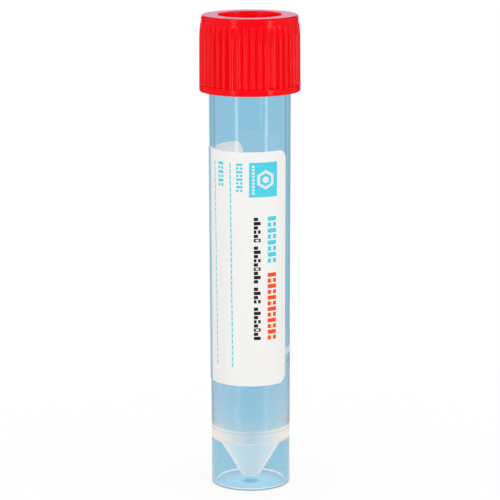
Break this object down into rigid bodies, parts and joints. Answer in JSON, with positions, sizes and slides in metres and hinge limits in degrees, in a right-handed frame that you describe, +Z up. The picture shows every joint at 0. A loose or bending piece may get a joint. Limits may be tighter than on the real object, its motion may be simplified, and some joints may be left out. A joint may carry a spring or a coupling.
{
  "type": "specimen transport tube",
  "caption": "Self-standing pale-blue plastic tube with a conical bottom inside a skirt, a red ribbed screw cap, a wrap-round paper label and clear liquid.",
  "frame": {"origin": "centre of the skirt's foot, on the surface that the tube stands on", "axes": "+Z up along the tube's axis; -Y is the side that the front of the label faces"},
  "size_m": [0.0204, 0.0204, 0.0964],
  "materials": {
    "tube_plastic": "polished",
    "cap_plastic": "satin",
    "gasket_rubber": "matte",
    "label_paper": "matte",
    "clear_liquid": "polished"
  },
  "bodies": {
    "tube": {"tube": "tube_plastic", "label": "label_paper", "transport_medium": "clear_liquid"},
    "seal_ring": {"seal_ring": "gasket_rubber"},
    "cap": {"cap": "cap_plastic"}
  },
  "joints": [
    {"name": "cap_lift", "type": "slide", "parent": "tube", "child": "seal_ring", "axis": [0, 0, 1], "range_m": [0, 0.0161]},
    {"name": "cap_turn", "type": "hinge", "parent": "seal_ring", "child": "cap", "pos_m": [0, 0, 0.0943], "axis": [0, 0, 1], "range_deg": [0, 1800]}
  ],
  "couplings": [
    {"joint": "cap_lift", "follows": "cap_turn", "m_per_rad": 0.0005093}
  ]
}
